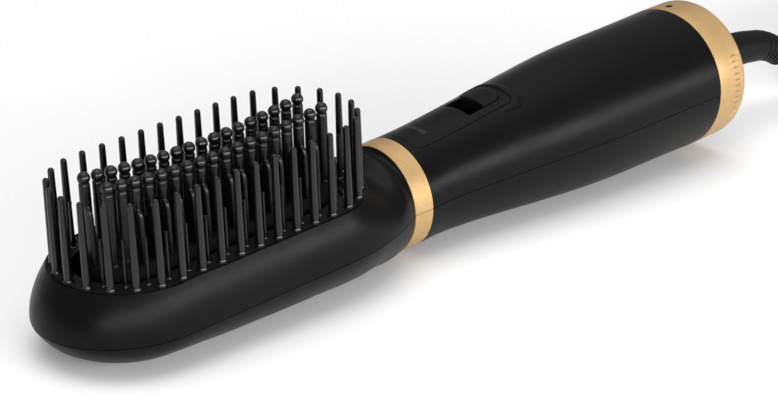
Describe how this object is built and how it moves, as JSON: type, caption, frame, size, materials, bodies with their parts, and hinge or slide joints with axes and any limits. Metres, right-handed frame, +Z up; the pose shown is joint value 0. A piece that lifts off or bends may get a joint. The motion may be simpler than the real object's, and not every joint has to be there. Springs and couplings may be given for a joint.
{
  "type": "hair straightening brush",
  "caption": "Hot-air hair straightening brush: oblong bristle head with ball-tipped pins, gold neck ring, tapered handle with thumb slider, twist-off filter cap and a mains cord.",
  "frame": {"origin": "on the surface that the brush lies on, under the middle of the brush without its cord", "axes": "+X from the head to the rear of the handle, +Z up through the bristles, +Y to the left seen from the rear"},
  "size_m": [0.606, 0.0558, 0.0545],
  "materials": {
    "soft_black": "satin soft-touch black",
    "panel_black": "fine satin black",
    "bristle_charcoal": "semi-gloss charcoal nylon",
    "gold": "satin champagne gold, fine turned grain",
    "lens_white": "frosted translucent",
    "inner_plastic": "moulded dark grey",
    "grille_black": "satin black",
    "filter_steel": "woven steel mesh",
    "mica": "pressed mica",
    "heater_wire": "resistance wire",
    "shield_steel": "bright sheet steel",
    "board_green": "solder-masked board",
    "motor_steel": "plated steel",
    "lead_insulation": "wire insulation",
    "cord_rubber": "matte black rubber",
    "plug_black": "matte black moulded",
    "plug_pin_metal": "nickel-plated brass"
  },
  "bodies": {
    "brush": {"head_upper_shell": "soft_black", "head_lower_shell": "soft_black", "handle_upper_shell": "soft_black", "handle_lower_shell": "soft_black", "switch_panel": "panel_black", "bristle_frame": "bristle_charcoal", "long_bristles": "bristle_charcoal", "short_bristles": "bristle_charcoal", "center_plate": "bristle_charcoal", "ball_bristles": "bristle_charcoal", "comb_fins": "bristle_charcoal", "neck_ring_upper": "gold", "neck_ring_lower": "gold", "indicator_lens": "lens_white", "indicator_led": "lens_white", "neck_sleeve": "inner_plastic", "fan_housing": "inner_plastic", "cord_anchor": "inner_plastic", "slide_switch": "inner_plastic", "heater_frame": "mica", "heater_coil": "heater_wire", "heater_shield": "shield_steel", "thermostat": "shield_steel", "thermal_fuse": "shield_steel", "control_board": "board_green", "motor_can": "motor_steel", "handle_screws": "motor_steel", "head_screws": "motor_steel", "lead_wires": "lead_insulation", "strain_relief": "cord_rubber", "power_cord": "cord_rubber", "cord_hank": "cord_rubber", "cord_tail": "cord_rubber", "cord_ties": "cord_rubber", "plug_body": "plug_black", "plug_pins": "plug_pin_metal"},
    "slider": {"switch_slider": "panel_black", "switch_lever": "inner_plastic"},
    "filter_cap": {"rear_ring": "gold", "inlet_grille": "grille_black", "filter_mesh": "filter_steel"},
    "fan": {"motor_shaft": "motor_steel", "fan_impeller": "inner_plastic"}
  },
  "joints": [
    {"name": "slider_travel", "type": "slide", "parent": "brush", "child": "slider", "axis": [-0.998, 0, -0.0631], "range_m": [0, 0.006]},
    {"name": "cap_twist", "type": "hinge", "parent": "brush", "child": "filter_cap", "pos_m": [0.1233, 0, 0.02553], "axis": [0.998, 0, 0.0631], "range_deg": [0, 20]},
    {"name": "fan_spin", "type": "hinge", "parent": "brush", "child": "fan", "pos_m": [0.10135, 0, 0.02414], "axis": [0.998, 0, 0.0631], "continuous": true}
  ]
}
